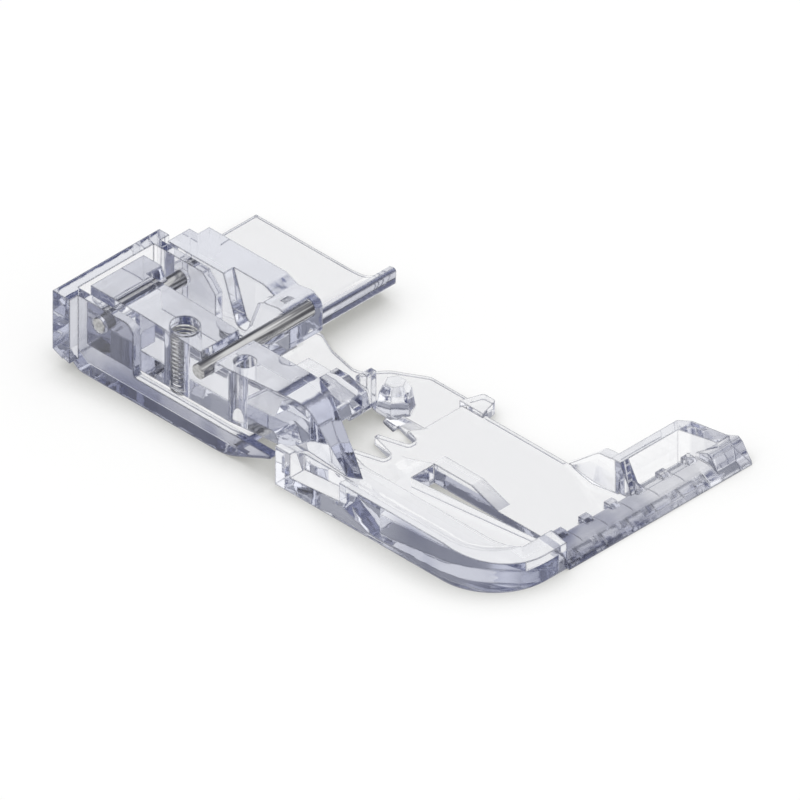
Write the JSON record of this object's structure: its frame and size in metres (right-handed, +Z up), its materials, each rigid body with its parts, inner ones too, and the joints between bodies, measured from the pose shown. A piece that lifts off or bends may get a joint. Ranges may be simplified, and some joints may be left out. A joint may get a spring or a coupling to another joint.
{
  "type": "sewing machine presser foot",
  "caption": "Clear clip-on sewing machine presser foot with a sprung rear shoe, side wing, long front sole, needle slots, guide fence and marked lip.",
  "frame": {"origin": "on the sole plane, under the middle of the foot", "axes": "+X to the front of the foot, towards the lip; +Y to the far side, where the wing and the fence are; +Z up"},
  "size_m": [0.0578, 0.0332, 0.0082],
  "materials": {
    "clear_plastic": "polished clear moulding",
    "pin_steel": "ground bright",
    "spring_steel": "drawn wire"
  },
  "bodies": {
    "foot": {"foot_body": "clear_plastic", "shank_pin": "pin_steel", "hinge_pin": "pin_steel", "shoe_spring": "spring_steel"},
    "shoe": {"rear_shoe": "clear_plastic"}
  },
  "joints": [
    {"name": "shoe_hinge", "type": "hinge", "parent": "foot", "child": "shoe", "pos_m": [-0.02116, -0.00988, 0.00613], "axis": [0, -1, 0], "range_deg": [0, 3], "stiffness_Nm_per_rad": 0.026, "springref_deg": -5.73, "deforming": ["shoe_spring"]}
  ]
}
